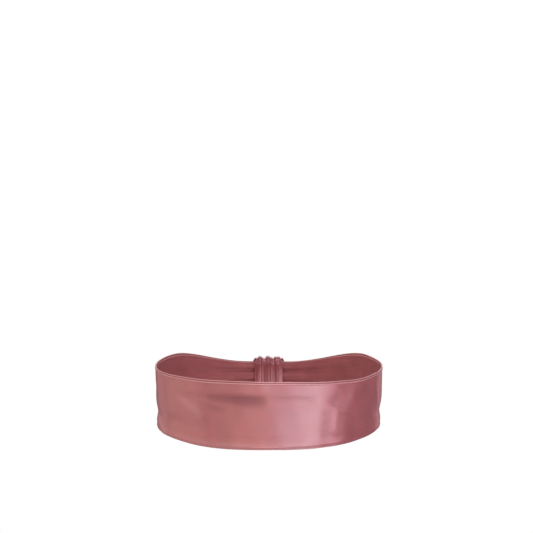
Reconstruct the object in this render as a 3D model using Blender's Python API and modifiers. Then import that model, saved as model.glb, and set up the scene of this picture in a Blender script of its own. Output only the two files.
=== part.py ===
"""Satin sash, worn round the waist and tied in a flat knot at the back.

One long strip of satin: a band round the waist, a knot that holds its gathered ends, and two short tails.
Metres, +Z up. The origin is the middle of the waist. The front faces -Y, and the wearer's left is +X.
"""

import math

import bpy
from mathutils import Vector

MILLIMETRE = 0.001

# Sizes of the wound strip
SASH_WIDTH = 0.0585
CLOTH_WALL = 0.0014
HEM_WIDTH = 0.0024
HEM_RISE = 0.0004

# The waist's outer half axes: a row for each height, from the lower edge (0) to the upper edge (1)
SECTION_COLUMNS = ("across", "half_width", "front_depth", "back_depth")
WAIST_SECTIONS = (
    (0.00, 0.0984, 0.0786, 0.0780),
    (0.12, 0.0990, 0.0786, 0.0778),
    (0.26, 0.0980, 0.0780, 0.0776),
    (0.42, 0.0994, 0.0774, 0.0775),
    (0.70, 0.1000, 0.0768, 0.0775),
    (1.00, 0.1002, 0.0764, 0.0777),
)

MEAN_HALF_WIDTH = 0.0994
BACK_DEPTH = 0.0775

# How far each edge lies above its mean height, in millimetres: a row for each place round the waist
LIFT_COLUMNS = ("azimuth", "upper_lift", "lower_lift")
EDGE_LIFTS = (
    (-180.0, 0.0, 0.0),
    (-125.0, 0.0, 0.6),
    (-90.0, -1.8, 1.6),
    (-72.0, -2.0, 1.4),
    (-60.0, -1.8, 1.1),
    (-48.0, -1.3, 0.3),
    (-37.0, -1.2, -0.6),
    (-25.0, -0.85, -0.75),
    (-12.0, -0.5, -0.5),
    (0.0, -0.8, -0.1),
    (12.0, -1.1, -0.35),
    (24.0, -2.1, -0.5),
    (36.0, -2.9, -0.1),
    (48.0, -3.7, 0.8),
    (59.0, -3.3, 1.9),
    (72.0, -2.8, 3.1),
    (90.0, -2.0, 3.3),
    (125.0, 0.0, 1.0),
    (180.0, 0.0, 0.0),
)

# Soft creases: from one place to another, azimuth in degrees and height as a share of the band, with the
# half width and the depth in millimetres. A depth below zero is a ridge.
CREASE_COLUMNS = (
    "azimuth_1", "across_1", "azimuth_2", "across_2", "half_width", "depth",
)
CREASES = (
    (-31.0, 0.76, -2.0, 0.66, 3.2, 1.0),
    (-2.0, 0.66, 16.0, 0.75, 3.0, 0.5),
    (-30.0, 0.58, -24.0, 0.53, 3.6, 0.5),
    (-54.0, 0.70, -41.0, 0.50, 3.2, -0.8),
    (28.0, 0.56, 27.0, 0.06, 3.0, 0.7),
    (33.5, 0.58, 33.0, 0.28, 2.6, -0.6),
    (36.0, 0.80, 34.0, 0.64, 3.0, 0.7),
    (68.0, 0.85, 74.0, 0.20, 5.0, -0.6),
    (-88.0, 0.78, -68.0, 0.62, 3.4, 0.7),
    (86.0, 0.72, 112.0, 0.58, 3.6, 0.9),
    (98.0, 0.34, 124.0, 0.46, 3.4, 0.7),
    (-124.0, 0.42, -96.0, 0.30, 3.6, 0.9),
    (-128.0, 0.70, -104.0, 0.80, 3.2, 0.7),
)

# How far along from each end a crease is at its end depth
CREASE_END = 0.12

# Gathers beside the knot: their height in the knot, and how many degrees they reach
NECK_HEIGHT = 0.028
GATHER_REACH = 52.0
PLEATS = 3
PLEAT_DEPTH = 0.0011

# The knot is a turn of the strip round the band's neck
KNOT_WIDTH = 0.030
KNOT_WAIST_WIDTH = 0.024
KNOT_INNER_WIDTH = 0.026
KNOT_WALL = 0.0022
KNOT_HOLE_HEIGHT = 0.0312
KNOT_HOLE_INSIDE = 0.0031
KNOT_HOLE_OUTSIDE = 0.0060
KNOT_INNER_SQUARENESS = 5.0
KNOT_OUTER_SQUARENESS = 3.2
KNOT_BULGE = 0.0020
KNOT_FOLDS = 3
KNOT_FOLD_DEPTH = 0.0009

# The tails leave the knot's open sides low down and spread to the strip's full width
TAIL_WALL = 0.0012
TAIL_FOLDS = 3
# The middle line of the left tail: x and z from the middle of the knot, y from the band's back, with the
# cloth's width and fold depth there, all in millimetres
TAIL_COLUMNS = ("x", "y", "z", "width", "fold_depth")
TAIL_SECTIONS = (
    (1.5, 2.2, 0.0, 27.0, 2.2),
    (14.0, 2.6, -0.4, 22.0, 2.2),
    (20.0, 4.0, -3.0, 20.0, 2.2),
    (30.5, 8.4, -16.0, 30.0, 2.8),
    (43.5, 11.2, -27.5, 40.0, 2.7),
    (56.5, 14.0, -39.5, 49.5, 2.2),
    (69.0, 17.0, -51.5, 56.0, 1.6),
    (81.0, 20.0, -63.0, 58.5, 1.0),
)
# How much of its length the tail's inner edge is cut shorter than its outer edge
TAIL_CUT = 0.24

# Counts of faces
COLUMNS_ROUND = 120
ROWS_BETWEEN_HEMS = 13
KNOT_STEPS_ROUND = 40
KNOT_STEPS_ACROSS = 26
TAIL_STEPS_LONG = 18
TAIL_STEPS_ACROSS = 12

COLLECTION_NAME = "satin_sash"
SATIN_COLOUR = (0.456, 0.171, 0.181, 1.0)
KNOT_COLOUR = (0.430, 0.155, 0.165, 1.0)
SATIN_ROUGHNESS = 0.34


def clear_scene():
    for old in list(bpy.data.objects):
        bpy.data.objects.remove(old, do_unlink=True)


def smooth(share):
    """0 to 1 with level ends, for shares from 0 to 1."""
    share = min(max(share, 0.0), 1.0)
    return share * share * (3.0 - 2.0 * share)


def table_at(rows, place, column):
    """The value of a column at a place between two rows, eased from row to row."""
    for low, high in zip(rows, rows[1:]):
        if place <= high[0]:
            share = (place - low[0]) / (high[0] - low[0])
            return low[column] + (high[column] - low[column]) * smooth(share)
    return rows[-1][column]


def curve_at(rows, share, column):
    """The value of a column along evenly spaced rows, on a smooth curve through them."""
    place = share * (len(rows) - 1)
    index = min(int(place), len(rows) - 2)
    part = place - index
    before = rows[max(index - 1, 0)][column]
    low = rows[index][column]
    high = rows[index + 1][column]
    after = rows[min(index + 2, len(rows) - 1)][column]
    return 0.5 * (
        2.0 * low
        + (high - before) * part
        + (2.0 * before - 5.0 * low + 4.0 * high - after) * part**2
        + (3.0 * low - 3.0 * high + after - before) * part**3
    )


def gather_share(azimuth):
    """0 away from the knot, 1 inside it."""
    inside = math.degrees(0.5 * KNOT_WIDTH / MEAN_HALF_WIDTH)
    beside = 180.0 - abs(azimuth) - inside
    return 1.0 - smooth(beside / GATHER_REACH)


def crease_rise(azimuth, across):
    """How far the creases move the cloth outwards at a place on the band, in metres."""
    rise = 0.0
    degree = math.radians(1.0) * MEAN_HALF_WIDTH / MILLIMETRE
    height = SASH_WIDTH / MILLIMETRE
    for azimuth_1, across_1, azimuth_2, across_2, half_width, depth in CREASES:
        run = Vector(((azimuth_2 - azimuth_1) * degree, (across_2 - across_1) * height))
        place = Vector(((azimuth - azimuth_1) * degree, (across - across_1) * height))
        along = place.dot(run) / run.length_squared
        off = place - run * min(max(along, 0.0), 1.0)
        fade = math.sin(math.pi * min(max(along, CREASE_END), 1.0 - CREASE_END))
        rise -= depth * fade * math.exp(-((off.length / half_width) ** 2))
    return rise * MILLIMETRE


def hem_rise(across):
    """The hems stand a little proud along both edges."""
    from_edge = min(across, 1.0 - across) * SASH_WIDTH
    return HEM_RISE if from_edge <= HEM_WIDTH + 1e-6 else 0.0


def band_point(azimuth, across):
    """A place on the band's outer face."""
    gathered = gather_share(azimuth)
    half_width = table_at(WAIST_SECTIONS, across, 1)
    depth_column = 2 if abs(azimuth) < 90.0 else 3
    side = abs(math.cos(math.radians(azimuth)))
    depth = table_at(WAIST_SECTIONS, across, depth_column)
    depth = BACK_DEPTH + (depth - BACK_DEPTH) * side
    rise = crease_rise(azimuth, across) * (1.0 - gathered)
    rise += hem_rise(across) * (1.0 - 0.5 * gathered)
    pleat = math.cos(2.0 * math.pi * PLEATS * across)
    rise += PLEAT_DEPTH * gathered * pleat
    angle = math.radians(azimuth)
    out = Vector((math.sin(angle) / half_width, -math.cos(angle) / depth, 0.0)).normalized()
    height = SASH_WIDTH + (NECK_HEIGHT - SASH_WIDTH) * gathered
    lift = (1.0 - across) * table_at(EDGE_LIFTS, azimuth, 2)
    lift += across * table_at(EDGE_LIFTS, azimuth, 1)
    z = (across - 0.5) * height + lift * MILLIMETRE * (1.0 - gathered)
    foot = Vector((half_width * math.sin(angle), -depth * math.cos(angle), z))
    return foot + out * rise


def band_rows():
    """Heights of the band's rows: close together at the hems, even between them."""
    hem = HEM_WIDTH / SASH_WIDTH
    step = 1.3 * hem
    rows = [0.0, hem, step]
    span = 1.0 - 2.0 * step
    rows += [step + span * (i + 1) / ROWS_BETWEEN_HEMS for i in range(ROWS_BETWEEN_HEMS)]
    return rows + [1.0 - hem, 1.0]


def loft(name, rows, colour, closed_rows=False, closed_round=False):
    """A surface through rows of points. Closed rows join their ends; closed round joins last to first."""
    count = len(rows[0])
    points = [point for row in rows for point in row]
    faces = []
    for i in range(len(rows) if closed_round else len(rows) - 1):
        below = i * count
        above = (i + 1) % len(rows) * count
        for j in range(count if closed_rows else count - 1):
            k = (j + 1) % count
            faces.append((below + j, below + k, above + k, above + j))
    mesh = bpy.data.meshes.new(name)
    mesh.from_pydata(points, [], faces)
    mesh.shade_smooth()
    mesh.materials.append(satin(name + "_satin", colour))
    piece = bpy.data.objects.new(name, mesh)
    bpy.data.collections[COLLECTION_NAME].objects.link(piece)
    return piece


def satin(name, colour):
    material = bpy.data.materials.new(name)
    material.use_nodes = True
    shader = material.node_tree.nodes["Principled BSDF"]
    shader.inputs["Base Color"].default_value = colour
    shader.inputs["Roughness"].default_value = SATIN_ROUGHNESS
    shader.inputs["Metallic"].default_value = 0.0
    return material


def add_wall(piece, wall):
    """Gives an open surface its cloth wall, on the side away from its normals."""
    solidify = piece.modifiers.new("wall", "SOLIDIFY")
    solidify.thickness = wall
    solidify.offset = -1.0
    solidify.use_even_offset = False


def make_band():
    step = 360.0 / COLUMNS_ROUND
    azimuths = [-180.0 + step * i for i in range(COLUMNS_ROUND)]
    rows = [[band_point(azimuth, across) for azimuth in azimuths] for across in band_rows()]
    band = loft("waist_band", rows, SATIN_COLOUR, closed_rows=True)
    add_wall(band, CLOTH_WALL)


def signed_power(value, exponent):
    return math.copysign(abs(value) ** exponent, value)


def knot_section(turn):
    """Middle, outward direction and half width of the knot's cloth at a turn round the band's neck."""
    middle_y = BACK_DEPTH + 0.5 * (KNOT_HOLE_OUTSIDE - KNOT_HOLE_INSIDE)
    half_y = 0.5 * (KNOT_HOLE_OUTSIDE + KNOT_HOLE_INSIDE) + 0.5 * KNOT_WALL
    half_z = 0.5 * (KNOT_HOLE_HEIGHT + KNOT_WALL)
    squareness = KNOT_OUTER_SQUARENESS if math.cos(turn) > 0.0 else KNOT_INNER_SQUARENESS
    exponent = 2.0 / squareness
    y = half_y * signed_power(math.cos(turn), exponent)
    z = half_z * signed_power(math.sin(turn), exponent)
    outer = max(math.cos(turn), 0.0)
    bulge = KNOT_BULGE * outer**2
    out = Vector((0.0, math.cos(turn) * half_z, math.sin(turn) * half_y)).normalized()
    place = Vector((0.0, middle_y + y + bulge, z))
    face_width = KNOT_WIDTH if math.cos(turn) > 0.0 else KNOT_INNER_WIDTH
    width = KNOT_WAIST_WIDTH + (face_width - KNOT_WAIST_WIDTH) * smooth(abs(math.cos(turn)))
    return place, out, 0.5 * width


def make_knot():
    rows = []
    for i in range(KNOT_STEPS_ROUND):
        turn = 2.0 * math.pi * i / KNOT_STEPS_ROUND
        place, out, half_width = knot_section(turn)
        outer = smooth(max(math.cos(turn), 0.0))
        row = []
        for j in range(KNOT_STEPS_ACROSS):
            angle = 2.0 * math.pi * j / KNOT_STEPS_ACROSS
            x = half_width * signed_power(math.cos(angle), 0.8)
            rise = 0.5 * KNOT_WALL * signed_power(math.sin(angle), 0.6)
            if math.sin(angle) > 0.0:
                fold = math.cos(2.0 * math.pi * KNOT_FOLDS * 0.5 * x / half_width)
                rise += KNOT_FOLD_DEPTH * fold * math.sin(angle)
                rise += KNOT_BULGE * outer * (1.0 - (x / half_width) ** 2)
            row.append(place + out * rise + Vector((x, 0.0, 0.0)))
        rows.append(row)
    loft("knot", rows, KNOT_COLOUR, closed_rows=True, closed_round=True)


def tail_point(along, across, side):
    """A place on a tail's outer face: along from the knot (0) to the cut end, across from edge to edge."""
    share = along * (1.0 - TAIL_CUT * across * smooth((along - 0.4) / 0.6))
    values = [curve_at(TAIL_SECTIONS, share, column) * MILLIMETRE for column in range(5)]
    ahead = [curve_at(TAIL_SECTIONS, min(share + 0.01, 1.0), column) for column in range(3)]
    behind = [curve_at(TAIL_SECTIONS, max(share - 0.01, 0.0), column) for column in range(3)]
    run = (Vector(ahead) - Vector(behind)).normalized()
    over = Vector((0.0, 1.0, 0.0)).cross(run).normalized()
    out = run.cross(over).normalized()
    middle = Vector((values[0], BACK_DEPTH + values[1], values[2]))
    spread = (across - 0.5) * values[3]
    fold = -values[4] * 0.5 * math.cos(2.0 * math.pi * TAIL_FOLDS * (across - 0.5))
    point = middle + over * spread + out * fold
    return Vector((point.x * side, point.y, point.z))


def make_tail(name, side):
    rows = []
    for i in range(TAIL_STEPS_LONG + 1):
        along = i / TAIL_STEPS_LONG
        shares = [j / TAIL_STEPS_ACROSS for j in range(TAIL_STEPS_ACROSS + 1)]
        row = [tail_point(along, across, side) for across in shares]
        rows.append(row[::-1] if side > 0 else row)
    tail = loft(name, rows, SATIN_COLOUR)
    add_wall(tail, TAIL_WALL)


def main():
    clear_scene()
    collection = bpy.data.collections.new(COLLECTION_NAME)
    bpy.context.scene.collection.children.link(collection)
    make_band()
    make_knot()
    make_tail("tail_left", 1.0)
    make_tail("tail_right", -1.0)


main()
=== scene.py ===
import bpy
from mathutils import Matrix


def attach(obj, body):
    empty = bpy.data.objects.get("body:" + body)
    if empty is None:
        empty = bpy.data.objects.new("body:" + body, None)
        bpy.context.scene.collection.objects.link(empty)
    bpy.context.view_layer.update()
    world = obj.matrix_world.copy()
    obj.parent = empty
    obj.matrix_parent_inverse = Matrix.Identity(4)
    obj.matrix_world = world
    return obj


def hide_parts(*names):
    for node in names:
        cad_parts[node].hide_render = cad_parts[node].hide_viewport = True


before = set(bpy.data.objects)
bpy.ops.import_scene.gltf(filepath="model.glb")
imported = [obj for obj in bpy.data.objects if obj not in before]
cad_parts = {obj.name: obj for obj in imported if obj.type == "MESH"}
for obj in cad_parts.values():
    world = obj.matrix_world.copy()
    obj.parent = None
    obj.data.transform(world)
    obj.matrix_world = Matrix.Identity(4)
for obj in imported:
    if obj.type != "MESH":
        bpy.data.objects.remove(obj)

"""The looks of a dusty rose satin sash: band, knot, tails, hems and sewing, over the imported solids.

Metres, +Z up. The sash's front faces -Y and the wearer's left is +X.
"""

import logging
import math
from collections.abc import Sequence
from dataclasses import dataclass
from enum import Enum

import bpy
import numpy as np
from mathutils import Vector

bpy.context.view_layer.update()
MILLIMETRE = 0.001
STRIP_MAP = "strip"
# a point attribute of painted light: above zero it lays painted shade into the satin's colour, below zero a
# painted highlight
PAINTED_LIGHT = "painted_light"
BODY = "root"

log = logging.getLogger("satin_sash")

Array = np.ndarray
Rows = Sequence[Sequence[float]]


class Held(Enum):
    """How a stretch of the sash is held."""

    STRETCHED = "stretched"
    GATHERED = "gathered"
    HUNG = "hung"


class Side(Enum):
    """The wearer's side that a tail hangs on, as the sign of its X."""

    LEFT = 1.0
    RIGHT = -1.0


def smooth(share: Array) -> Array:
    """0 to 1 with level ends, for shares from 0 to 1."""
    share = np.clip(share, 0.0, 1.0)
    return share * share * (3.0 - 2.0 * share)


def curve_through(rows: Rows, places: Array, column: int) -> Array:
    """Reads a table's column on a smooth curve through its rows.

    Args:
        rows: The table, with the place in column 0, rising.
        places: Where to read it.
        column: The column to read.

    Returns:
        The values there.
    """
    table = np.array(rows, float)
    knots, values = table[:, 0], table[:, column]
    slopes = np.gradient(values, knots)
    index = np.clip(np.searchsorted(knots, places, side="right") - 1, 0, len(knots) - 2)
    span = knots[index + 1] - knots[index]
    part = np.clip((places - knots[index]) / span, 0.0, 1.0)
    rise = 3.0 * part**2 - 2.0 * part**3
    leave = part**3 - 2.0 * part**2 + part
    arrive = part**3 - part**2
    base = values[index] * (1.0 - rise) + values[index + 1] * rise
    return base + span * (slopes[index] * leave + slopes[index + 1] * arrive)


def unit(vectors: Array) -> Array:
    """The same vectors at length one."""
    return vectors / np.maximum(np.linalg.norm(vectors, axis=-1, keepdims=True), 1e-12)


def strip_lengths(face: Array, closed: bool) -> Array:
    """Measures along the middle of a strip's grid.

    Args:
        face: The grid of places.
        closed: Whether the strip runs on into its own start.

    Returns:
        The length at each row, and once more at the start where the strip is closed.
    """
    middle = face[:, face.shape[1] // 2]
    if closed:
        middle = np.concatenate([middle, middle[:1]])
    strides = np.linalg.norm(np.diff(middle, axis=0), axis=1)
    return np.concatenate([[0.0], np.cumsum(strides)])


def declare(pieces: Sequence[bpy.types.Object]) -> None:
    """Lets pieces ride on the sash's body.

    Args:
        pieces: The finished pieces.
    """
    for piece in pieces:
        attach(piece, BODY)


@dataclass(frozen=True)
class Crease:
    """A soft trough along a curve in the band, or a ridge where its depth is below zero.

    The path's rows are degrees round the waist and shares of the band's height. Lean is how many times wider
    the slope on the right of the path is than the one on its left. Tone is the share of the full painted
    shade laid into the cloth's colour along the crease, below zero a painted highlight. Where the depth is
    zero, the crease is painted light alone, with no shape.
    """

    path: Rows
    half_width: float
    depth: float
    lean: float = 1.0
    # painted shade in the crease, below zero a painted highlight
    tone: float = 0.0
    fineness: int = 8

    def share(self, azimuth: Array, across: Array, degree: float, height: float) -> Array:
        """Finds how much of the crease's full depth each place has.

        Args:
            azimuth: Degrees round the waist.
            across: Shares of the band's height.
            degree: Millimetres in one degree.
            height: The band's height in millimetres.

        Returns:
            Shares from 0 to 1.
        """
        rows = [(float(index), *place) for index, place in enumerate(self.path)]
        places = np.linspace(0.0, len(rows) - 1.0, self.fineness * (len(rows) - 1) + 1)
        line = np.stack([curve_through(rows, places, 1) * degree, curve_through(rows, places, 2) * height])
        x, y = azimuth * degree, across * height
        nearest, along, right = np.full(x.shape, np.inf), np.zeros(x.shape), np.zeros(x.shape)
        for index in range(len(places) - 1):
            start, run = line[:, index], line[:, index + 1] - line[:, index]
            from_x, from_y = x - start[0], y - start[1]
            held = np.clip((from_x * run[0] + from_y * run[1]) / (run @ run), 0.0, 1.0)
            off = (from_x - run[0] * held) ** 2 + (from_y - run[1] * held) ** 2
            closer = off < nearest
            along = np.where(closer, (index + held) / (len(places) - 1), along)
            right = np.where(closer, from_x * run[1] - from_y * run[0] > 0.0, right)
            nearest = np.minimum(nearest, off)
        fade = np.sin(math.pi * np.clip(along, 0.0, 1.0)) ** 0.6
        reach = self.half_width * np.where(right, self.lean, 1.0)
        return fade * np.exp(-nearest / reach**2)


@dataclass(frozen=True)
class ShellCloth:
    """The grids that make one cloth shell: its face, how far it stands out and goes in, its cut sizes, and
    the painted shade and highlight laid into its colour.

    The first axis runs along the strip and the second across it. Lengths has one more place than the grid
    where the strip closes on itself.
    """

    face: Array
    out: Array
    inward: Array
    lengths: Array
    widths: Array
    # painted light at each place: painted shade above zero, painted highlight below zero
    painted_light: Array
    closed: bool
    flipped: bool = False

    def normals(self) -> Array:
        """Finds the outward directions at the grid's places.

        Returns:
            Directions of length one.
        """
        if self.closed:
            ahead = np.roll(self.face, -1, axis=0) - np.roll(self.face, 1, axis=0)
        else:
            ahead = np.gradient(self.face, axis=0)
        aside = np.gradient(self.face, axis=1)
        outward = unit(np.cross(ahead, aside))
        return -outward if self.flipped else outward

    def build(self, name: str, materials: Sequence[bpy.types.Material]) -> bpy.types.Object:
        """Makes the closed shell, its outer side in the first material and its inner side in the second.

        Args:
            name: The piece's name.
            materials: Two materials.

        Returns:
            The finished object, at the origin.
        """
        count, wide = self.face.shape[:2]
        outward = self.normals()
        outer = self.face + outward * self.out[..., None]
        inner = self.face - outward * self.inward[..., None]
        border = np.zeros((count, wide), bool)
        border[:, [0, -1]] = True
        if not self.closed:
            border[[0, -1], :] = True
        outer_index = np.arange(count * wide).reshape(count, wide)
        inner_index = outer_index.copy()
        inner_index[~border] = count * wide + np.arange(int((~border).sum()))
        points = np.concatenate([outer.reshape(-1, 3), inner[~border]])
        steps = np.arange(count if self.closed else count - 1)
        step, place = (grid.ravel() for grid in np.meshgrid(steps, np.arange(wide - 1), indexing="ij"))
        corners = ((step, place), (step + 1, place), (step + 1, place + 1), (step, place + 1))
        if self.flipped:
            corners = corners[::-1]
        outer_faces = np.stack([outer_index[i % count, j] for i, j in corners], axis=1)
        inner_faces = np.stack([inner_index[i % count, j] for i, j in corners[::-1]], axis=1)
        mesh = bpy.data.meshes.new(name)
        mesh.from_pydata(points.tolist(), [], np.concatenate([outer_faces, inner_faces]).tolist())
        cut = [np.stack([self.lengths[i], self.widths[j]], axis=1) for i, j in corners]
        outer_cut = np.stack(cut, axis=1)
        cut_map = mesh.uv_layers.new(name=STRIP_MAP)
        both = np.concatenate([outer_cut, outer_cut[:, ::-1]])
        cut_map.data.foreach_set("uv", both.astype(np.float32).ravel())
        # the painted shade and highlight go onto the mesh as a point attribute for the material
        painted_light_layer = mesh.attributes.new(PAINTED_LIGHT, "FLOAT", "POINT")
        values = np.concatenate([self.painted_light.ravel(), self.painted_light[~border]])
        painted_light_layer.data.foreach_set("value", values.astype(np.float32))
        sides = np.repeat([0, 1], len(outer_faces)).astype(np.int32)
        mesh.polygons.foreach_set("material_index", sides)
        for material in materials:
            mesh.materials.append(material)
        mesh.shade_smooth()
        mesh.update()
        piece = bpy.data.objects.new(name, mesh)
        bpy.context.scene.collection.objects.link(piece)
        return piece


def graded(edge: float, hem: float, width: float, step: float) -> Array:
    """Places across a strip, in metres: close together at its rolled edges and hems, even between them.

    Args:
        edge: The edge roll's radius.
        hem: The hem's width.
        width: The strip's width.
        step: The even spacing.

    Returns:
        Rising places from 0 to the width.
    """
    roll = edge * (1.0 - np.cos(np.linspace(0.0, 0.5 * math.pi, 5)))
    on_hem = np.linspace(edge, hem * 1.3, 12)[1:]
    side = np.concatenate([roll, on_hem])
    count = int(round((width - 2.0 * side[-1]) / step))
    between = np.linspace(side[-1], width - side[-1], count + 1)[1:-1]
    return np.concatenate([side, between, width - side[::-1]])


@dataclass(frozen=True)
class Hem:
    """A narrow turned hem: a rolled edge, a sunk line behind it and a fine welt where the turning ends."""

    edge: float = 0.00045
    width: float = 0.0024
    rise: float = 0.00022
    sunk_line: float = 0.00105
    sunk_depth: float = 0.00018
    welt_rise: float = 0.00018
    sewn_share: float = 0.72
    thread_lift: float = 0.00004

    def sewn_line(self) -> float:
        """How far the sewing is from the strip's edge."""
        return self.width * self.sewn_share

    def section(self, from_edge: Array) -> tuple[Array, Array, Array]:
        """The hem's section.

        Args:
            from_edge: Distance from the strip's edge, in metres.

        Returns:
            The share of full thickness left by the edge's roll, how far the hem stands out, and its line of
            painted light: painted shade above zero, in the sunk line, and a painted highlight below zero, on
            the fold and the welt.
        """
        turned = np.clip(from_edge / self.edge, 0.0, 1.0)
        roll = np.sqrt(np.clip(1.0 - (1.0 - turned) ** 2, 0.0, 1.0))
        on_hem = 1.0 - smooth((from_edge - self.width * 0.9) / (self.width * 0.3))
        # the sunk line: the cloth sinks here and also takes painted shade
        sunk = np.exp(-(((from_edge - self.sunk_line) / (self.width * 0.16)) ** 2))
        # the welt: the cloth rises here and also takes a painted highlight
        welt = np.exp(-(((from_edge - self.width * 0.84) / (self.width * 0.16)) ** 2))
        rise = self.rise * on_hem - self.sunk_depth * sunk + self.welt_rise * welt
        # a painted highlight along the rolled edge's fold, with no shape of its own
        fold = np.exp(-((from_edge / (self.width * 0.20)) ** 2))
        return roll, np.maximum(rise, 0.0), sunk - welt - fold


class Shader:
    """Adds and joins the nodes of one material."""

    def __init__(self, name: str) -> None:
        """Starts a material that holds only its surface shader.

        Args:
            name: The material's name.
        """
        self.material = bpy.data.materials.new(name)
        self.material.use_nodes = True
        self.tree = self.material.node_tree
        self.surface = self.tree.nodes["Principled BSDF"]

    def add(self, kind: str, inputs: dict[str, object] | None = None, **settings: object) -> bpy.types.Node:
        """Adds a node.

        Args:
            kind: The node's type.
            inputs: Values or output sockets for its inputs, by name or number.
            **settings: The node's own properties.

        Returns:
            The node.
        """
        node = self.tree.nodes.new(kind)
        for key, value in settings.items():
            setattr(node, key, value)
        for key, value in (inputs or {}).items():
            socket = node.inputs[key]
            if isinstance(value, bpy.types.NodeSocket):
                self.tree.links.new(value, socket)
            else:
                socket.default_value = value
        return node

    def sum_of(self, first: object, second: object, operation: str = "ADD") -> bpy.types.NodeSocket:
        """The result of a maths node on two values or sockets."""
        return self.add("ShaderNodeMath", {0: first, 1: second}, operation=operation).outputs[0]

    def times(self, first: object, second: object) -> bpy.types.NodeSocket:
        """The product of two values or sockets."""
        return self.sum_of(first, second, "MULTIPLY")

    def mixed(self, share: object, first: object, second: object) -> bpy.types.NodeSocket:
        """A colour between two colours."""
        node = self.add("ShaderNodeMix", {0: share, 6: first, 7: second}, data_type="RGBA")
        return node.outputs[2]

    def scaled(self, place: object, scale: Sequence[float]) -> bpy.types.NodeSocket:
        """A place stretched along its axes."""
        return self.add("ShaderNodeMapping", {"Vector": place, "Scale": scale}).outputs[0]

    def noise(self, place: object, scale: float, detail: float) -> bpy.types.NodeSocket:
        """Smooth uneven values from 0 to 1."""
        inputs = {"Vector": place, "Scale": scale, "Detail": detail}
        return self.add("ShaderNodeTexNoise", inputs).outputs[0]

    def set(self, **values: object) -> None:
        """Sets or joins the surface's inputs.

        Args:
            **values: Values or output sockets by the input's name, with underscores for spaces.
        """
        for key, value in values.items():
            socket = self.surface.inputs[key.replace("_", " ")]
            if isinstance(value, bpy.types.NodeSocket):
                self.tree.links.new(value, socket)
            else:
                socket.default_value = value


def shade(colour: Sequence[float], share: float) -> tuple[float, float, float, float]:
    """A colour made lighter or darker, with full alpha."""
    red, green, blue = (min(part * share, 1.0) for part in colour[:3])
    return (red, green, blue, 1.0)


@dataclass(frozen=True)
class SatinFinish:
    """Warp-faced satin: long glossy threads along the strip, which draw its shine out across them."""

    name: str
    colour: tuple[float, float, float]
    roughness: float
    shine: float
    shine_tint: tuple[float, float, float]
    stretch: float
    sheen: float
    ior: float = 1.8
    thread: float = 0.30 * MILLIMETRE
    slub_length: float = 14.0 * MILLIMETRE
    slub_width: float = 1.0 * MILLIMETRE
    bump: float = 0.02 * MILLIMETRE
    # the colour painted into the hollows and the hem's sunk line as shade
    hollow_painted_shade: tuple[float, float, float] = (0.200, 0.030, 0.034)
    hollow_dulling: float = 0.16
    # the colour painted on folds, welts and ridges as a highlight
    crest_painted_highlight: tuple[float, float, float] = (0.90, 0.58, 0.58)
    streak_tones: tuple[float, float] = (0.45, 1.55)
    thread_tones: tuple[float, float] = (0.70, 1.30)
    cloud_tones: tuple[float, float] = (0.45, 1.55)
    cloud_scale: float = 75.0
    thread_share: float = 0.35
    cloud_share: float = 0.45
    slub_unevenness: float = 0.20
    cloud_unevenness: float = 0.16
    smoothest: float = 0.08
    slub_reach: float = 14.0

    def material(self) -> bpy.types.Material:
        """Builds the satin's material on the strip's own cut map.

        Returns:
            The material.
        """
        shader = Shader(self.name)
        cut = shader.add("ShaderNodeUVMap", uv_map=STRIP_MAP).outputs["UV"]
        slub_scale = (1.0 / self.slub_length, 1.0 / self.slub_width, 1.0)
        thread_scale = (1.0 / (self.slub_reach * self.thread), 1.0 / self.thread, 1.0)
        slub = shader.noise(shader.scaled(cut, slub_scale), 1.0, 3.0)
        thread = shader.noise(shader.scaled(cut, thread_scale), 1.0, 1.0)
        here = shader.add("ShaderNodeTexCoord").outputs["Object"]
        cloud = shader.noise(here, self.cloud_scale, 4.0)
        streaked = shader.mixed(slub, *(shade(self.colour, tone) for tone in self.streak_tones))
        threaded = shader.mixed(thread, *(shade(self.colour, tone) for tone in self.thread_tones))
        clouded = shader.mixed(cloud, *(shade(self.colour, tone) for tone in self.cloud_tones))
        woven = shader.mixed(self.thread_share, streaked, threaded)
        plain = shader.mixed(self.cloud_share, woven, clouded)
        # painted light from the shell's attribute: painted shade above zero, towards the hollow colour, and
        # a painted highlight below zero, towards the crest colour
        line = shader.add("ShaderNodeAttribute", attribute_name=PAINTED_LIGHT).outputs["Fac"]
        sunk = shader.sum_of(line, 0.0, "MAXIMUM")
        welt = shader.sum_of(shader.times(line, -1.0), 0.0, "MAXIMUM")
        painted_shaded = shader.mixed(sunk, plain, (*self.hollow_painted_shade, 1.0))
        colour = shader.mixed(welt, painted_shaded, (*self.crest_painted_highlight, 1.0))
        height = shader.sum_of(shader.times(slub, 0.6), shader.times(thread, 0.4))
        bump_inputs = {"Height": height, "Distance": self.bump, "Strength": 0.35}
        normal = shader.add("ShaderNodeBump", bump_inputs).outputs[0]
        of_slub = shader.times(slub, self.slub_unevenness)
        of_cloud = shader.times(cloud, self.cloud_unevenness)
        even = self.roughness - 0.5 * (self.slub_unevenness + self.cloud_unevenness)
        uneven = shader.sum_of(shader.sum_of(of_slub, of_cloud), even)
        woven_rough = shader.sum_of(uneven, self.roughness - self.smoothest, "MAXIMUM")
        rough = shader.sum_of(woven_rough, shader.times(sunk, self.hollow_dulling))
        tangent = shader.add("ShaderNodeTangent", direction_type="UV_MAP", uv_map=STRIP_MAP).outputs[0]
        shader.set(
            Base_Color=colour,
            Roughness=rough,
            Normal=normal,
            Tangent=tangent,
            Anisotropic=self.stretch,
            Anisotropic_Rotation=0.25,
            IOR=self.ior,
            Specular_IOR_Level=self.shine,
            Specular_Tint=(*self.shine_tint, 1.0),
            Sheen_Weight=self.sheen,
            Sheen_Roughness=0.45,
            Sheen_Tint=(1.0, 0.72, 0.76, 1.0),
        )
        return shader.material


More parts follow.
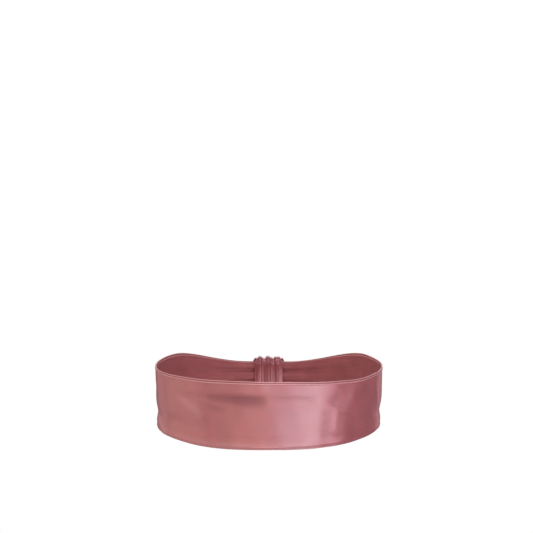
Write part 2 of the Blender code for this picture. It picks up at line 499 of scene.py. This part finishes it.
@dataclass(frozen=True)
class ThreadFinish:
    """Sewing thread: two plies twisted together."""

    name: str
    colour: tuple[float, float, float]
    twist: float = 0.45 * MILLIMETRE

    def material(self) -> bpy.types.Material:
        """Builds the thread's material.

        Returns:
            The material.
        """
        shader = Shader(self.name)
        here = shader.add("ShaderNodeTexCoord").outputs["Object"]
        place = shader.add("ShaderNodeMapping", {"Vector": here, "Rotation": (0.0, 0.0, 0.6)}).outputs[0]
        scale = 1.0 / self.twist
        wave_inputs = {"Vector": place, "Scale": scale, "Distortion": 1.5}
        wave = shader.add("ShaderNodeTexWave", wave_inputs).outputs[1]
        colour = shader.mixed(wave, shade(self.colour, 0.78), shade(self.colour, 1.12))
        rough = shader.sum_of(shader.times(wave, 0.12), 0.42)
        shader.set(Base_Color=colour, Roughness=rough, Sheen_Weight=0.2, Specular_IOR_Level=0.5)
        return shader.material


@dataclass(frozen=True)
class PaperFinish:
    """The plain pale surface that the sash is shown over, which thins away towards its rim."""

    name: str
    colour: tuple[float, float, float]
    solid_radius: float
    radius: float

    def material(self) -> bpy.types.Material:
        """Builds a matt, faintly mottled white.

        Returns:
            The material.
        """
        shader = Shader(self.name)
        here = shader.add("ShaderNodeTexCoord").outputs["Object"]
        grain = shader.noise(here, 3.0, 2.0)
        colour = shader.mixed(grain, shade(self.colour, 0.99), shade(self.colour, 1.01))
        level = {0: here, 1: (1.0, 1.0, 0.0)}
        flat = shader.add("ShaderNodeVectorMath", level, operation="MULTIPLY").outputs[0]
        out = shader.add("ShaderNodeVectorMath", {0: flat}, operation="LENGTH").outputs["Value"]
        limits = {"From Min": self.solid_radius, "From Max": self.radius, "To Min": 1.0, "To Max": 0.0}
        cover = shader.add("ShaderNodeMapRange", limits, interpolation_type="SMOOTHSTEP")
        shader.tree.links.new(out, cover.inputs["Value"])
        alpha = cover.outputs["Result"]
        shader.set(Base_Color=colour, Roughness=0.9, Specular_IOR_Level=0.1, Alpha=alpha)
        return shader.material


@dataclass(frozen=True)
class StitchLine:
    """A row of small machine stitches along a hem, made with geometry nodes."""

    pitch: float = 2.4 * MILLIMETRE
    length: float = 1.7 * MILLIMETRE
    width: float = 0.30 * MILLIMETRE
    sides: int = 6
    rings: int = 4

    def tree(self, thread: bpy.types.Material) -> bpy.types.NodeTree:
        """Builds the node tree: spaced points on a line with a stitch on each, made real and dyed.

        Args:
            thread: The thread's material.

        Returns:
            The node tree.
        """
        tree = bpy.data.node_groups.new("hem_stitches", "GeometryNodeTree")
        sockets = tree.interface
        sockets.new_socket("Geometry", in_out="INPUT", socket_type="NodeSocketGeometry")
        sizes = (("Stitch pitch", self.pitch), ("Stitch length", self.length), ("Thread width", self.width))
        for name, value in sizes:
            socket = sockets.new_socket(name, in_out="INPUT", socket_type="NodeSocketFloat")
            socket.default_value = value
        sockets.new_socket("Geometry", in_out="OUTPUT", socket_type="NodeSocketGeometry")
        nodes, join = tree.nodes, tree.links.new
        given = nodes.new("NodeGroupInput").outputs
        curve = nodes.new("GeometryNodeMeshToCurve")
        spaced = nodes.new("GeometryNodeResampleCurve")
        spaced.mode = "LENGTH"
        bead = nodes.new("GeometryNodeMeshUVSphere")
        bead.inputs["Segments"].default_value = self.sides
        bead.inputs["Rings"].default_value = self.rings
        bead.inputs["Radius"].default_value = 0.5
        size = nodes.new("ShaderNodeCombineXYZ")
        run = nodes.new("GeometryNodeInputTangent")
        turn = nodes.new("FunctionNodeAlignRotationToVector")
        turn.axis = "X"
        stitches = nodes.new("GeometryNodeInstanceOnPoints")
        real = nodes.new("GeometryNodeRealizeInstances")
        soft = nodes.new("GeometryNodeSetShadeSmooth")
        dyed = nodes.new("GeometryNodeSetMaterial")
        dyed.inputs["Material"].default_value = thread
        made = nodes.new("NodeGroupOutput")
        join(given["Geometry"], curve.inputs[0])
        join(curve.outputs[0], spaced.inputs["Curve"])
        join(given["Stitch pitch"], spaced.inputs["Length"])
        join(given["Stitch length"], size.inputs["X"])
        join(given["Thread width"], size.inputs["Y"])
        join(given["Thread width"], size.inputs["Z"])
        join(run.outputs[0], turn.inputs["Vector"])
        join(spaced.outputs[0], stitches.inputs["Points"])
        join(bead.outputs["Mesh"], stitches.inputs["Instance"])
        join(turn.outputs[0], stitches.inputs["Rotation"])
        join(size.outputs[0], stitches.inputs["Scale"])
        join(stitches.outputs[0], real.inputs[0])
        join(real.outputs[0], soft.inputs[0])
        join(soft.outputs[0], dyed.inputs["Geometry"])
        join(dyed.outputs[0], made.inputs[0])
        return tree

    def sew(self, name: str, lines: Sequence[Array], thread: bpy.types.Material) -> bpy.types.Object:
        """Sews stitches along lines.

        Args:
            name: The piece's name.
            lines: The lines' points, each an array of places.
            thread: The thread's material.

        Returns:
            One plain mesh that holds every stitch.
        """
        points, edges = [], []
        for line in lines:
            first = len(points)
            points += [tuple(map(float, place)) for place in line]
            edges += [(first + i, first + i + 1) for i in range(len(line) - 1)]
        guide_mesh = bpy.data.meshes.new(name + "_line")
        guide_mesh.from_pydata(points, edges, [])
        guide = bpy.data.objects.new(name + "_line", guide_mesh)
        bpy.context.scene.collection.objects.link(guide)
        modifier = guide.modifiers.new("stitches", "NODES")
        modifier.node_group = self.tree(thread)
        given = {item.name: item.identifier for item in modifier.node_group.interface.items_tree}
        modifier[given["Stitch pitch"]] = self.pitch
        modifier[given["Stitch length"]] = self.length
        modifier[given["Thread width"]] = self.width
        graph = bpy.context.evaluated_depsgraph_get()
        graph.update()
        mesh = bpy.data.meshes.new_from_object(guide.evaluated_get(graph))
        guide.modifiers.remove(modifier)
        bpy.data.objects.remove(guide, do_unlink=True)
        mesh.name = name
        if not mesh.materials:
            mesh.materials.append(thread)
        piece = bpy.data.objects.new(name, mesh)
        bpy.context.scene.collection.objects.link(piece)
        return piece


@dataclass(frozen=True)
class Finishes:
    """The materials that the pieces share."""

    face: bpy.types.Material
    reverse: bpy.types.Material
    thread: bpy.types.Material


@dataclass
class WaistBand:
    """The stretch round the waist: an upright oval band, flat in front, gathered into the knot behind."""

    width: float = 0.0585
    wall: float = 0.0007
    mean_half_width: float = 0.0994
    back_depth: float = 0.0775
    # across, half width, front depth, back depth
    sections: Rows = (
        (0.00, 0.0984, 0.0786, 0.0780),
        (0.12, 0.0990, 0.0786, 0.0778),
        (0.26, 0.0980, 0.0780, 0.0776),
        (0.42, 0.0994, 0.0774, 0.0775),
        (0.70, 0.1000, 0.0768, 0.0775),
        (1.00, 0.1002, 0.0764, 0.0777),
    )
    # azimuth, upper edge's lift, lower edge's lift in millimetres
    lifts: Rows = (
        (-180.0, 0.0, 0.0),
        (-125.0, 0.0, 0.6),
        (-90.0, -1.8, 1.6),
        (-72.0, -2.0, 1.4),
        (-60.0, -1.8, 1.1),
        (-48.0, -1.3, 0.3),
        (-37.0, -1.2, -0.6),
        (-25.0, -0.85, -0.75),
        (-12.0, -0.5, -0.5),
        (0.0, -0.8, -0.1),
        (12.0, -1.1, -0.35),
        (24.0, -2.1, -0.5),
        (36.0, -2.9, -0.1),
        (48.0, -3.7, 0.8),
        (59.0, -3.3, 1.9),
        (72.0, -2.8, 3.1),
        (90.0, -2.0, 3.3),
        (125.0, 0.0, 1.0),
        (180.0, 0.0, 0.0),
    )
    # each crease's fifth number, where given, is its tone: painted shade in the cloth's colour, below zero a
    # painted highlight. The creases of depth 0 are painted light alone: a pale line at the front's top, a
    # lit lower edge on the wearer's right, and a lit strip along the bottom
    creases: Sequence[Crease] = (
        Crease(((-33.0, 0.728), (-24.2, 0.731), (-12.0, 0.732), (-1.0, 0.73)), 3.2, 0.95, 1.1, 0.9),
        Crease(((-19.0, 0.722), (-9.5, 0.702), (-1.0, 0.694)), 4.2, 0.4, 1.2, 0.56),
        Crease(((-2.0, 0.75), (6.5, 0.748), (15.0, 0.746), (25.0, 0.74)), 2.2, 0.24, 1.3, 0.24),
        Crease(((-51.0, 0.728), (-41.0, 0.745), (-29.0, 0.748)), 2.2, 0.24, 1.3, 0.14),
        Crease(((-53.0, 0.7), (-45.5, 0.622), (-40.0, 0.541), (-33.0, 0.44)), 4.4, -0.3, 1.1, -0.15),
        Crease(((-34.0, 0.6), (-27.6, 0.574), (-20.5, 0.545)), 3.4, 0.34, 1.3, 0.26),
        Crease(((29.3, -0.35), (29.3, 0.11), (29.3, 0.3), (29.2, 0.48), (29.8, 0.61)), 5.8, 0.3, 1.0, 0.36),
        Crease(((35.2, 0.62), (34.8, 0.42), (35.0, 0.2)), 3.4, -0.24, 1.0, -0.16),
        Crease(((31.6, 0.64), (33.8, 0.735), (37.5, 0.815)), 4.8, 0.16, 1.0, 0.52),
        Crease(((59.0, 1.18), (53.5, 0.98), (48.5, 0.82), (45.0, 0.68), (43.5, 0.48)), 8.5, -0.9),
        Crease(((-1.5, 1.03), (-1.5, 0.93), (-1.5, 0.82)), 4.0, 0.0, 1.0, -0.14),
        Crease(((-90.0, 0.42), (-82.0, 0.25), (-72.0, 0.11), (-62.0, 0.07)), 5.0, 0.0, 1.0, -0.26),
        Crease(((-72.0, 0.05), (-40.0, 0.045), (0.0, 0.04), (40.0, 0.04)), 3.6, 0.0, 1.0, -0.22),
        Crease(((-34.0, 0.15), (-8.0, 0.14), (26.0, 0.16)), 3.4, 0.3, 1.8),
        Crease(((66.0, 0.9), (71.0, 0.55), (74.0, 0.15)), 5.0, -0.5),
        Crease(((-108.0, 0.77), (-96.0, 0.735), (-82.0, 0.65)), 4.2, 0.45, 1.5, 0.24),
        Crease(((88.0, 0.7), (102.0, 0.69), (120.0, 0.64)), 4.0, 0.6, 1.4, 0.34),
        Crease(((100.0, 0.3), (115.0, 0.37), (133.0, 0.43)), 4.4, 0.48, 1.5, 0.24),
        Crease(((-134.0, 0.42), (-116.0, 0.39), (-97.0, 0.33)), 4.2, 0.6, 1.4, 0.3),
        Crease(((-139.0, 0.64), (-125.0, 0.69), (-110.0, 0.74)), 3.6, 0.4, 1.4, 0.2),
    )
    # cycles round the waist, cycles across, phase, height in millimetres
    waves: Rows = (
        (11.0, 0.45, 0.4, 0.14),
        (17.0, -0.70, 2.3, 0.09),
        (29.0, 0.90, 4.1, 0.060),
        (7.0, -1.40, 1.1, 0.05),
    )
    neck_height: float = 0.028
    gather_reach: float = 52.0
    knot_width: float = 0.030
    pleats: int = 3
    pleat_depth: float = 0.0011
    fine_pleats: int = 8
    fine_pleat_depth: float = 0.00028
    hem: Hem = Hem()
    # painted shade along the lower edge, where the cloth turns under
    lower_edge_painted_shade: float = 0.7
    columns: int = 480
    sewn_columns: int = 720
    row_step: float = 0.00092

    def gathered(self, azimuth: Array) -> Array:
        """0 away from the knot, 1 inside it."""
        inside = math.degrees(0.5 * self.knot_width / self.mean_half_width)
        return 1.0 - smooth((180.0 - np.abs(azimuth) - inside) / self.gather_reach)

    def creased(self, azimuth: Array, across: Array, amounts: Sequence[float]) -> Array:
        """Adds up the creases' shares, each times its own amount.

        Args:
            azimuth: Degrees round the waist.
            across: Shares of the band's height.
            amounts: One amount for each crease.

        Returns:
            The sums.
        """
        degree = math.radians(1.0) * self.mean_half_width / MILLIMETRE
        height = self.width / MILLIMETRE
        total = np.zeros(azimuth.shape)
        for crease, amount in zip(self.creases, amounts):
            total = total + amount * crease.share(azimuth, across, degree, height)
        return total

    def place(self, azimuth: Array, across: Array) -> Array:
        """Finds places on the band's face.

        Args:
            azimuth: Degrees round the waist, 0 in front, rising to the wearer's left.
            across: Shares of the band's height, 0 at the lower edge.

        Returns:
            The places, in metres.
        """
        drawn_in = self.gathered(azimuth)
        angle = np.radians(azimuth)
        half_width = curve_through(self.sections, across, 1)
        front = curve_through(self.sections, across, 2)
        behind = curve_through(self.sections, across, 3)
        depth = np.where(np.abs(azimuth) < 90.0, front, behind)
        depth = self.back_depth + (depth - self.back_depth) * np.abs(np.cos(angle))
        rise = self.creased(azimuth, across, [-crease.depth * MILLIMETRE for crease in self.creases])
        for round_waist, up, phase, wave_height in self.waves:
            wave = np.sin(round_waist * angle + 2.0 * math.pi * up * across + phase)
            rise = rise + wave_height * MILLIMETRE * wave
        rise = rise * (1.0 - drawn_in)
        rise = rise + self.pleat_depth * drawn_in * np.cos(2.0 * math.pi * self.pleats * across)
        wander = 0.9 * np.sin(np.radians(azimuth) * 5.0) + 0.35 * np.sin(np.radians(azimuth) * 11.0)
        fine = np.cos(2.0 * math.pi * self.fine_pleats * across + wander)
        rise = rise + self.fine_pleat_depth * drawn_in**1.5 * fine
        out = unit(np.stack([np.sin(angle) / half_width, -np.cos(angle) / depth, 0.0 * angle], axis=-1))
        tall = self.width + (self.neck_height - self.width) * drawn_in
        upper = curve_through(self.lifts, azimuth, 1)
        lower = curve_through(self.lifts, azimuth, 2)
        lift = (lower + (upper - lower) * across) * MILLIMETRE * (1.0 - drawn_in)
        z = (across - 0.5) * tall + lift
        foot = np.stack([half_width * np.sin(angle), -depth * np.cos(angle), z], axis=-1)
        return foot + out * rise[..., None]

    def shell(self) -> ShellCloth:
        """Lays out the band's grids.

        Returns:
            The grids of its shell.
        """
        azimuths = -180.0 + 360.0 * np.arange(self.columns) / self.columns
        widths = graded(self.hem.edge, self.hem.width, self.width, self.row_step)
        azimuth, width = np.meshgrid(azimuths, widths, indexing="ij")
        face = self.place(azimuth, width / self.width)
        # the hem's line is painted shade in the sunk line and a painted highlight on the fold and the welt
        roll, hem, line = self.hem.section(np.minimum(width, self.width - width))
        # painted shade on the lower edge where it turns under, in place of the hem's line on the lower half
        turned_under_painted_shade = self.lower_edge_painted_shade * np.exp(-((width / self.hem.edge) ** 2))
        line = np.where(width < 0.5 * self.width, turned_under_painted_shade, line)
        # the creases' tones lay painted shade in troughs and a painted highlight on ridges
        tone = self.creased(azimuth, width / self.width, [crease.tone for crease in self.creases])
        line = np.clip(line + tone, -1.0, 1.0)
        lengths = strip_lengths(face, True)
        return ShellCloth(face, hem * roll, (self.wall + hem) * roll, lengths, widths, line, True)

    def hem_lines(self) -> list[Array]:
        """Draws lines just proud of the cloth where the hems are sewn.

        Returns:
            The lower hem's line and the upper hem's.
        """
        azimuth = np.linspace(-180.0, 180.0, self.sewn_columns + 1)
        lines = []
        from_edge = self.hem.sewn_line() / self.width
        for share in (from_edge, 1.0 - from_edge):
            line = self.place(azimuth, np.full_like(azimuth, share))
            angle = np.radians(azimuth)
            out = np.stack([np.sin(angle), -np.cos(angle), 0.0 * angle], axis=-1)
            lines.append(line + out * (self.hem.rise + self.hem.thread_lift))
        return lines

    def build(self, finishes: Finishes) -> None:
        """Args:
            finishes: The sash's materials.
        """
        band = self.shell().build("band_satin", (finishes.face, finishes.reverse))
        sewing = StitchLine().sew("band_stitches", self.hem_lines(), finishes.thread)
        declare((band, sewing))
        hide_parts("waist_band")
        length = float(self.shell().lengths[-1])
        log.info("band %.3f m round, %.4f m wide", length, self.width)


@dataclass
class Knot:
    """A turn of the strip round the band's neck, its edges rolled under and its width drawn into folds."""

    back_depth: float = 0.0775
    face_width: float = 0.030
    waist_width: float = 0.024
    inner_width: float = 0.026
    wall: float = 0.0022
    hole_height: float = 0.0312
    hole_inside: float = 0.0031
    hole_outside: float = 0.0060
    inner_squareness: float = 5.0
    outer_squareness: float = 3.2
    bulge: float = 0.0020
    folds: int = 3
    fold_depth: float = 0.0009
    fine_folds: int = 7
    fine_fold_depth: float = 0.00022
    steps_round: int = 260
    steps_across: int = 96
    cut: tuple[float, float] = (0.088, 0.034)
    tuck_slope: float = 2.2
    tuck_width: float = 0.0012
    tuck_top: float = 0.0014
    tuck_press: float = 0.0008
    neck_pleat: float = 0.0011
    neck_pitch: float = 0.00933

    def tuck(self, turn: Array, x: Array, y: Array, z: Array) -> Array:
        """Sizes the fold that fills the knot's middle, between the two ends, down to the band's pleats.

        Args:
            turn: Angles round the knot, 0 at its outer face.
            x: Places across the knot.
            y: Places of the wall's middle, towards the back.
            z: Heights of the wall's middle.

        Returns:
            How far the inner face stands in from the wall.
        """
        neck = self.neck_pleat * (1.0 - np.cos(2.0 * math.pi * z / self.neck_pitch))
        room = np.maximum(y - self.back_depth - neck - 0.5 * self.wall + self.tuck_press, 0.0)
        outer_side = smooth((np.cos(turn) - 0.28) / 0.14)
        ends = self.tuck_top * np.abs(np.sin(turn)) ** 12
        ridge = smooth(self.tuck_slope * (1.0 - np.abs(x) / self.tuck_width))
        return ridge * (room * outer_side + ends)

    def shell(self) -> ShellCloth:
        """Lays out the knot's grids.

        Returns:
            The grids of its shell.
        """
        turns = 2.0 * math.pi * np.arange(self.steps_round) / self.steps_round
        shares = 0.5 - 0.5 * np.cos(np.linspace(0.0, math.pi, self.steps_across + 1))
        turn, share = np.meshgrid(turns, shares, indexing="ij")
        aside = 2.0 * share - 1.0
        outer = np.maximum(np.cos(turn), 0.0)
        squareness = np.where(np.cos(turn) > 0.0, self.outer_squareness, self.inner_squareness)
        half_y = 0.5 * (self.hole_outside + self.hole_inside) + 0.5 * self.wall
        half_z = 0.5 * (self.hole_height + self.wall)
        y = half_y * np.sign(np.cos(turn)) * np.abs(np.cos(turn)) ** (2.0 / squareness)
        z = half_z * np.sign(np.sin(turn)) * np.abs(np.sin(turn)) ** (2.0 / squareness)
        y = y + self.back_depth + 0.5 * (self.hole_outside - self.hole_inside) + self.bulge * outer**2
        face_width = np.where(np.cos(turn) > 0.0, self.face_width, self.inner_width)
        width = self.waist_width + (face_width - self.waist_width) * smooth(np.abs(np.cos(turn)))
        x = 0.5 * width * aside
        roll = np.sqrt(np.clip(1.0 - aside**6, 0.0, 1.0))
        drift = 0.45 * np.sin(turn) + 0.3 * np.sin(2.0 * turn + 0.8)
        fold = np.cos(math.pi * self.folds * aside + drift * (1.0 - aside**2))
        fine = np.cos(math.pi * self.fine_folds * aside + 1.7 * np.sin(turn + 0.5))
        rise = 0.5 * self.wall + self.bulge * smooth(outer) * (1.0 - aside**2)
        rise = rise + self.fold_depth * fold * roll + self.fine_fold_depth * fine
        face = np.stack([x, y, z], axis=-1)
        lengths = strip_lengths(face, True)
        widths = shares * self.face_width
        depth = 0.5 * self.wall * roll + self.tuck(turn, x, y, z)
        return ShellCloth(face, rise * roll, depth, lengths, widths, 0.0 * rise, True)

    def build(self, finishes: Finishes) -> None:
        """Args:
            finishes: The sash's materials.
        """
        knot = self.shell().build("knot_satin", (finishes.face, finishes.reverse))
        declare((knot,))
        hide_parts("knot")
        log.info("knot of a %.3f m turn", self.cut[0])


@dataclass
class Tail:
    """One hanging end of the sash: pleated at the knot, spread to its full width and cut on a slant."""

    side: Side
    back_depth: float = 0.0775
    # row, then x, y from the band's back, z, width and fold depth in millimetres
    sections: Rows = (
        (0.0, 1.5, 2.2, 0.0, 27.0, 2.2),
        (1.0, 14.0, 2.6, -0.4, 22.0, 2.2),
        (2.0, 20.0, 4.0, -3.0, 20.0, 2.2),
        (3.0, 30.5, 8.4, -16.0, 30.0, 2.8),
        (4.0, 43.5, 11.2, -27.5, 40.0, 2.7),
        (5.0, 56.5, 14.0, -39.5, 49.5, 2.2),
        (6.0, 69.0, 17.0, -51.5, 56.0, 1.6),
        (7.0, 81.0, 20.0, -63.0, 58.5, 1.0),
    )
    cut_short: float = 0.24
    folds: int = 3
    fine_folds: int = 7
    fine_fold_depth: float = 0.3
    wall: float = 0.0006
    width: float = 0.0585
    hem: Hem = Hem()
    row_step: float = 0.0009
    steps_long: int = 150
    steps_end: int = 16
    longest: float = 0.108
    cut_share: float = 0.82
    slope_step: float = 0.07
    sewn_from: float = 0.16
    steps_sewn: int = 200
    steps_sewn_cut: int = 120

    def place(self, along: Array, across: Array) -> Array:
        """Finds places on the tail's face.

        Args:
            along: Shares of its length, 0 in the knot.
            across: Shares of its width, 0 at the upper and outer edge.

        Returns:
            The places, in metres.
        """
        share = along * (1.0 - self.cut_short * across * smooth((along - 0.4) / 0.6))
        last = len(self.sections) - 1.0
        row = share * last
        values = [curve_through(self.sections, row, column) for column in range(1, 6)]
        row_ahead = np.minimum(row + self.slope_step, last)
        row_behind = np.maximum(row - self.slope_step, 0.0)
        ahead = [curve_through(self.sections, row_ahead, column) for column in (1, 2, 3)]
        behind = [curve_through(self.sections, row_behind, column) for column in (1, 2, 3)]
        run = unit(np.stack(ahead, axis=-1) - np.stack(behind, axis=-1))
        over = unit(np.cross(np.array([0.0, 1.0, 0.0]), run))
        out = np.cross(run, over)
        middle = np.stack([values[0], values[1] + self.back_depth / MILLIMETRE, values[2]], axis=-1)
        spread = (across - 0.5) * values[3]
        fold = -0.5 * values[4] * np.cos(2.0 * math.pi * self.folds * (across - 0.5))
        drift = 1.2 * np.sin(3.0 * along + 2.0 * self.side.value)
        root = (1.0 - smooth(along / 0.75)) * smooth(along / 0.12)
        fine = self.fine_fold_depth * root * np.cos(2.0 * math.pi * self.fine_folds * across + drift)
        point = middle + over * spread[..., None] + out * (fold + fine)[..., None]
        point[..., 0] *= self.side.value
        return point * MILLIMETRE

    def shell(self) -> ShellCloth:
        """Lays out the tail's grids.

        Returns:
            The grids of its shell.
        """
        widths = graded(self.hem.edge, self.hem.width, self.width, self.row_step)
        end = 1.0 - widths[: self.steps_end][::-1] / self.longest
        shares = np.concatenate([np.linspace(0.0, end[0], self.steps_long)[:-1], end])
        along, width = np.meshgrid(shares, widths, indexing="ij")
        face = self.place(along, width / self.width)
        from_side = np.minimum(width, self.width - width)
        from_end = (1.0 - along) * self.longest
        from_edge = np.minimum(from_side, from_end)
        # the hem's line is painted shade in the sunk line and a painted highlight on the fold and the welt
        roll, hem, line = self.hem.section(from_edge)
        open_root = np.clip(along * self.longest / self.hem.edge, 0.0, 1.0)
        roll = roll * np.sqrt(open_root)
        lengths = strip_lengths(face, False)
        flipped = self.side is Side.RIGHT
        inward = (self.wall + hem) * roll
        return ShellCloth(face, hem * roll, inward, lengths, widths, line, False, flipped)

    def hem_lines(self) -> list[Array]:
        """Draws the line along both sides and the cut end where the hems are sewn.

        Returns:
            One line, in a list.
        """
        share = self.hem.sewn_line() / self.width
        end = 1.0 - self.hem.sewn_line() / self.longest
        long_way = np.linspace(self.sewn_from, end, self.steps_sewn)
        cut_way = np.linspace(share, 1.0 - share, self.steps_sewn_cut)
        outer = self.place(long_way, np.full_like(long_way, share))
        cut = self.place(np.full_like(cut_way, end), cut_way)
        inner = self.place(long_way[::-1], np.full_like(long_way, 1.0 - share))
        line = np.concatenate([outer, cut[1:-1], inner])
        line[:, 1] += self.hem.rise + self.hem.thread_lift
        return [line]

    def build(self, finishes: Finishes) -> None:
        """Args:
            finishes: The sash's materials.
        """
        name = "tail_" + self.side.name.lower()
        shell = self.shell()
        tail = shell.build(name + "_satin", (finishes.face, finishes.reverse))
        sewing = StitchLine().sew(name + "_stitches", self.hem_lines(), finishes.thread)
        declare((tail, sewing))
        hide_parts(name)


@dataclass(frozen=True)
class Softbox:
    """A soft studio lamp that faces the sash, with its face's radiance in red, green and blue."""

    name: str
    azimuth: float
    elevation: float
    distance: float
    width: float
    height: float
    light: tuple[float, float, float]

    def build(self) -> None:
        """Places the lamp and turns it to the sash."""
        data = bpy.data.lights.new(self.name, "AREA")
        data.shape = "RECTANGLE"
        data.size = self.width
        data.size_y = self.height
        brightest = max(self.light)
        data.energy = brightest * math.pi * self.width * self.height
        data.color = [part / brightest for part in self.light]
        lamp = bpy.data.objects.new(self.name, data)
        azimuth, elevation = math.radians(self.azimuth), math.radians(self.elevation)
        level = self.distance * math.cos(elevation)
        height = self.distance * math.sin(elevation)
        place = Vector((level * math.sin(azimuth), -level * math.cos(azimuth), height))
        lamp.location = place
        lamp.rotation_euler = (-place).to_track_quat("-Z", "Y").to_euler()
        lamp.visible_camera = False
        bpy.context.scene.collection.objects.link(lamp)


@dataclass(frozen=True)
class Studio:
    """The plain pale floor, the soft light and the camera."""

    focal_length: float = 110.2
    camera_distance: float = 1.45
    sight_elevation: float = 13.0
    picture_side: float = 533.0
    origin_x: float = 268.75
    origin_y: float = 394.9
    floor_drop: float = 0.55
    floor_radius: float = 1.15
    floor_sides: int = 96
    sensor: float = 36.0
    ambient: tuple[float, float, float] = (0.29, 0.22, 0.24)
    lamps: Sequence[Softbox] = (
        Softbox("right_softbox", 36.0, -4.0, 2.2, 0.78, 1.3, (2.32, 2.27, 2.15)),
        Softbox("right_strip", 54.0, -17.0, 2.2, 0.70, 0.6, (2.56, 1.61, 1.71)),
        Softbox("right_wing", 19.0, -4.0, 2.2, 0.70, 1.3, (1.43, 1.35, 1.39)),
        Softbox("front_fill", 2.0, 0.0, 2.2, 0.70, 1.2, (1.32, 1.00, 0.87)),
        Softbox("front_strip", -14.0, -12.0, 2.2, 0.60, 0.7, (1.61, 1.04, 0.74)),
        Softbox("left_fill", -35.0, -1.0, 2.2, 1.10, 1.3, (0.66, 0.51, 0.32)),
        Softbox("left_softbox", -82.0, -4.0, 2.2, 2.30, 1.6, (0.75, 0.53, 0.36)),
        Softbox("left_wing", -128.0, -6.0, 2.2, 1.20, 1.5, (0.54, 0.34, 0.28)),
        Softbox("rim_softbox", 143.0, -6.0, 2.2, 0.80, 1.2, (0.59, 0.34, 0.30)),
        Softbox("high_softbox", 0.0, 58.0, 2.2, 1.2, 1.0, (4.00, 3.00, 3.00)),
        Softbox("back_softbox", 180.0, 20.0, 2.4, 1.20, 1.0, (2.6, 2.4, 2.4)),
    )

    def build_camera(self) -> None:
        """Places the camera where the photograph's was."""
        in_pixels = self.focal_length / self.sensor * self.picture_side
        middle = 0.5 * self.picture_side
        sight = math.radians(self.sight_elevation)
        pitch = sight - math.atan((self.origin_y - middle) / in_pixels)
        data = bpy.data.cameras.new("camera")
        data.lens = self.focal_length
        data.sensor_width = self.sensor
        data.clip_start = 0.05
        camera = bpy.data.objects.new("camera", data)
        x = -(self.origin_x - middle) / in_pixels * self.camera_distance
        y = -self.camera_distance * math.cos(sight)
        camera.location = (x, y, self.camera_distance * math.sin(sight))
        camera.rotation_euler = (0.5 * math.pi - pitch, 0.0, 0.0)
        bpy.context.scene.collection.objects.link(camera)
        bpy.context.scene.camera = camera

    def build_world(self) -> None:
        """A white surround for the camera and a dimmer one for the light."""
        world = bpy.data.worlds.new("surround")
        world.use_nodes = True
        nodes, links = world.node_tree.nodes, world.node_tree.links
        dim = nodes["Background"]
        dim.inputs["Color"].default_value = (*self.ambient, 1.0)
        dim.inputs["Strength"].default_value = 1.0
        white = nodes.new("ShaderNodeBackground")
        white.inputs["Color"].default_value = (1.0, 1.0, 1.0, 1.0)
        seen = nodes.new("ShaderNodeLightPath")
        mix = nodes.new("ShaderNodeMixShader")
        links.new(seen.outputs["Is Camera Ray"], mix.inputs[0])
        links.new(dim.outputs[0], mix.inputs[1])
        links.new(white.outputs[0], mix.inputs[2])
        links.new(mix.outputs[0], nodes["World Output"].inputs["Surface"])
        bpy.context.scene.world = world

    def build_floor(self) -> None:
        """The round pale floor, well below the sash."""
        turns = 2.0 * math.pi * np.arange(self.floor_sides) / self.floor_sides
        rim = np.stack([np.cos(turns), np.sin(turns), 0.0 * turns], axis=-1) * self.floor_radius
        rim[:, 2] = -self.floor_drop
        mesh = bpy.data.meshes.new("floor")
        mesh.from_pydata(rim.tolist(), [], [tuple(range(self.floor_sides))])
        paper = PaperFinish("floor_paper", (0.86, 0.86, 0.86), 0.4 * self.floor_radius, self.floor_radius)
        mesh.materials.append(paper.material())
        floor = bpy.data.objects.new("floor", mesh)
        bpy.context.scene.collection.objects.link(floor)

    def build(self) -> None:
        """Sets the stage, the light and the view."""
        bpy.context.scene.view_settings.view_transform = "Standard"
        self.build_camera()
        self.build_world()
        self.build_floor()
        for lamp in self.lamps:
            lamp.build()
        log.info("studio with %d lamps", len(self.lamps))


def dye_finishes() -> Finishes:
    """Makes the satin's shiny face, its duller reverse and the matching thread.

    Returns:
        The sash's materials.
    """
    face = SatinFinish(
        name="satin_face",
        colour=(0.37, 0.100, 0.104),
        roughness=0.34,
        shine=1.0,
        shine_tint=(1.0, 0.76, 0.88),
        stretch=0.5,
        sheen=0.06,
        ior=2.0,
    )
    reverse = SatinFinish(
        name="satin_reverse",
        colour=(0.42, 0.145, 0.155),
        roughness=0.52,
        shine=0.5,
        shine_tint=(1.0, 0.72, 0.78),
        stretch=0.4,
        sheen=0.12,
        ior=1.6,
        # a weaker painted shade in the reverse's hollows
        hollow_painted_shade=(0.34, 0.105, 0.112),
    )
    thread = ThreadFinish("rose_thread", (0.50, 0.17, 0.19))
    return Finishes(face.material(), reverse.material(), thread.material())


def main() -> None:
    """Builds the sash piece by piece, then its studio."""
    logging.basicConfig(level=logging.INFO, format="%(name)s: %(message)s")
    finishes = dye_finishes()
    WaistBand().build(finishes)
    Knot().build(finishes)
    for side in Side:
        Tail(side).build(finishes)
    Studio().build()


if __name__ == "__main__":
    main()
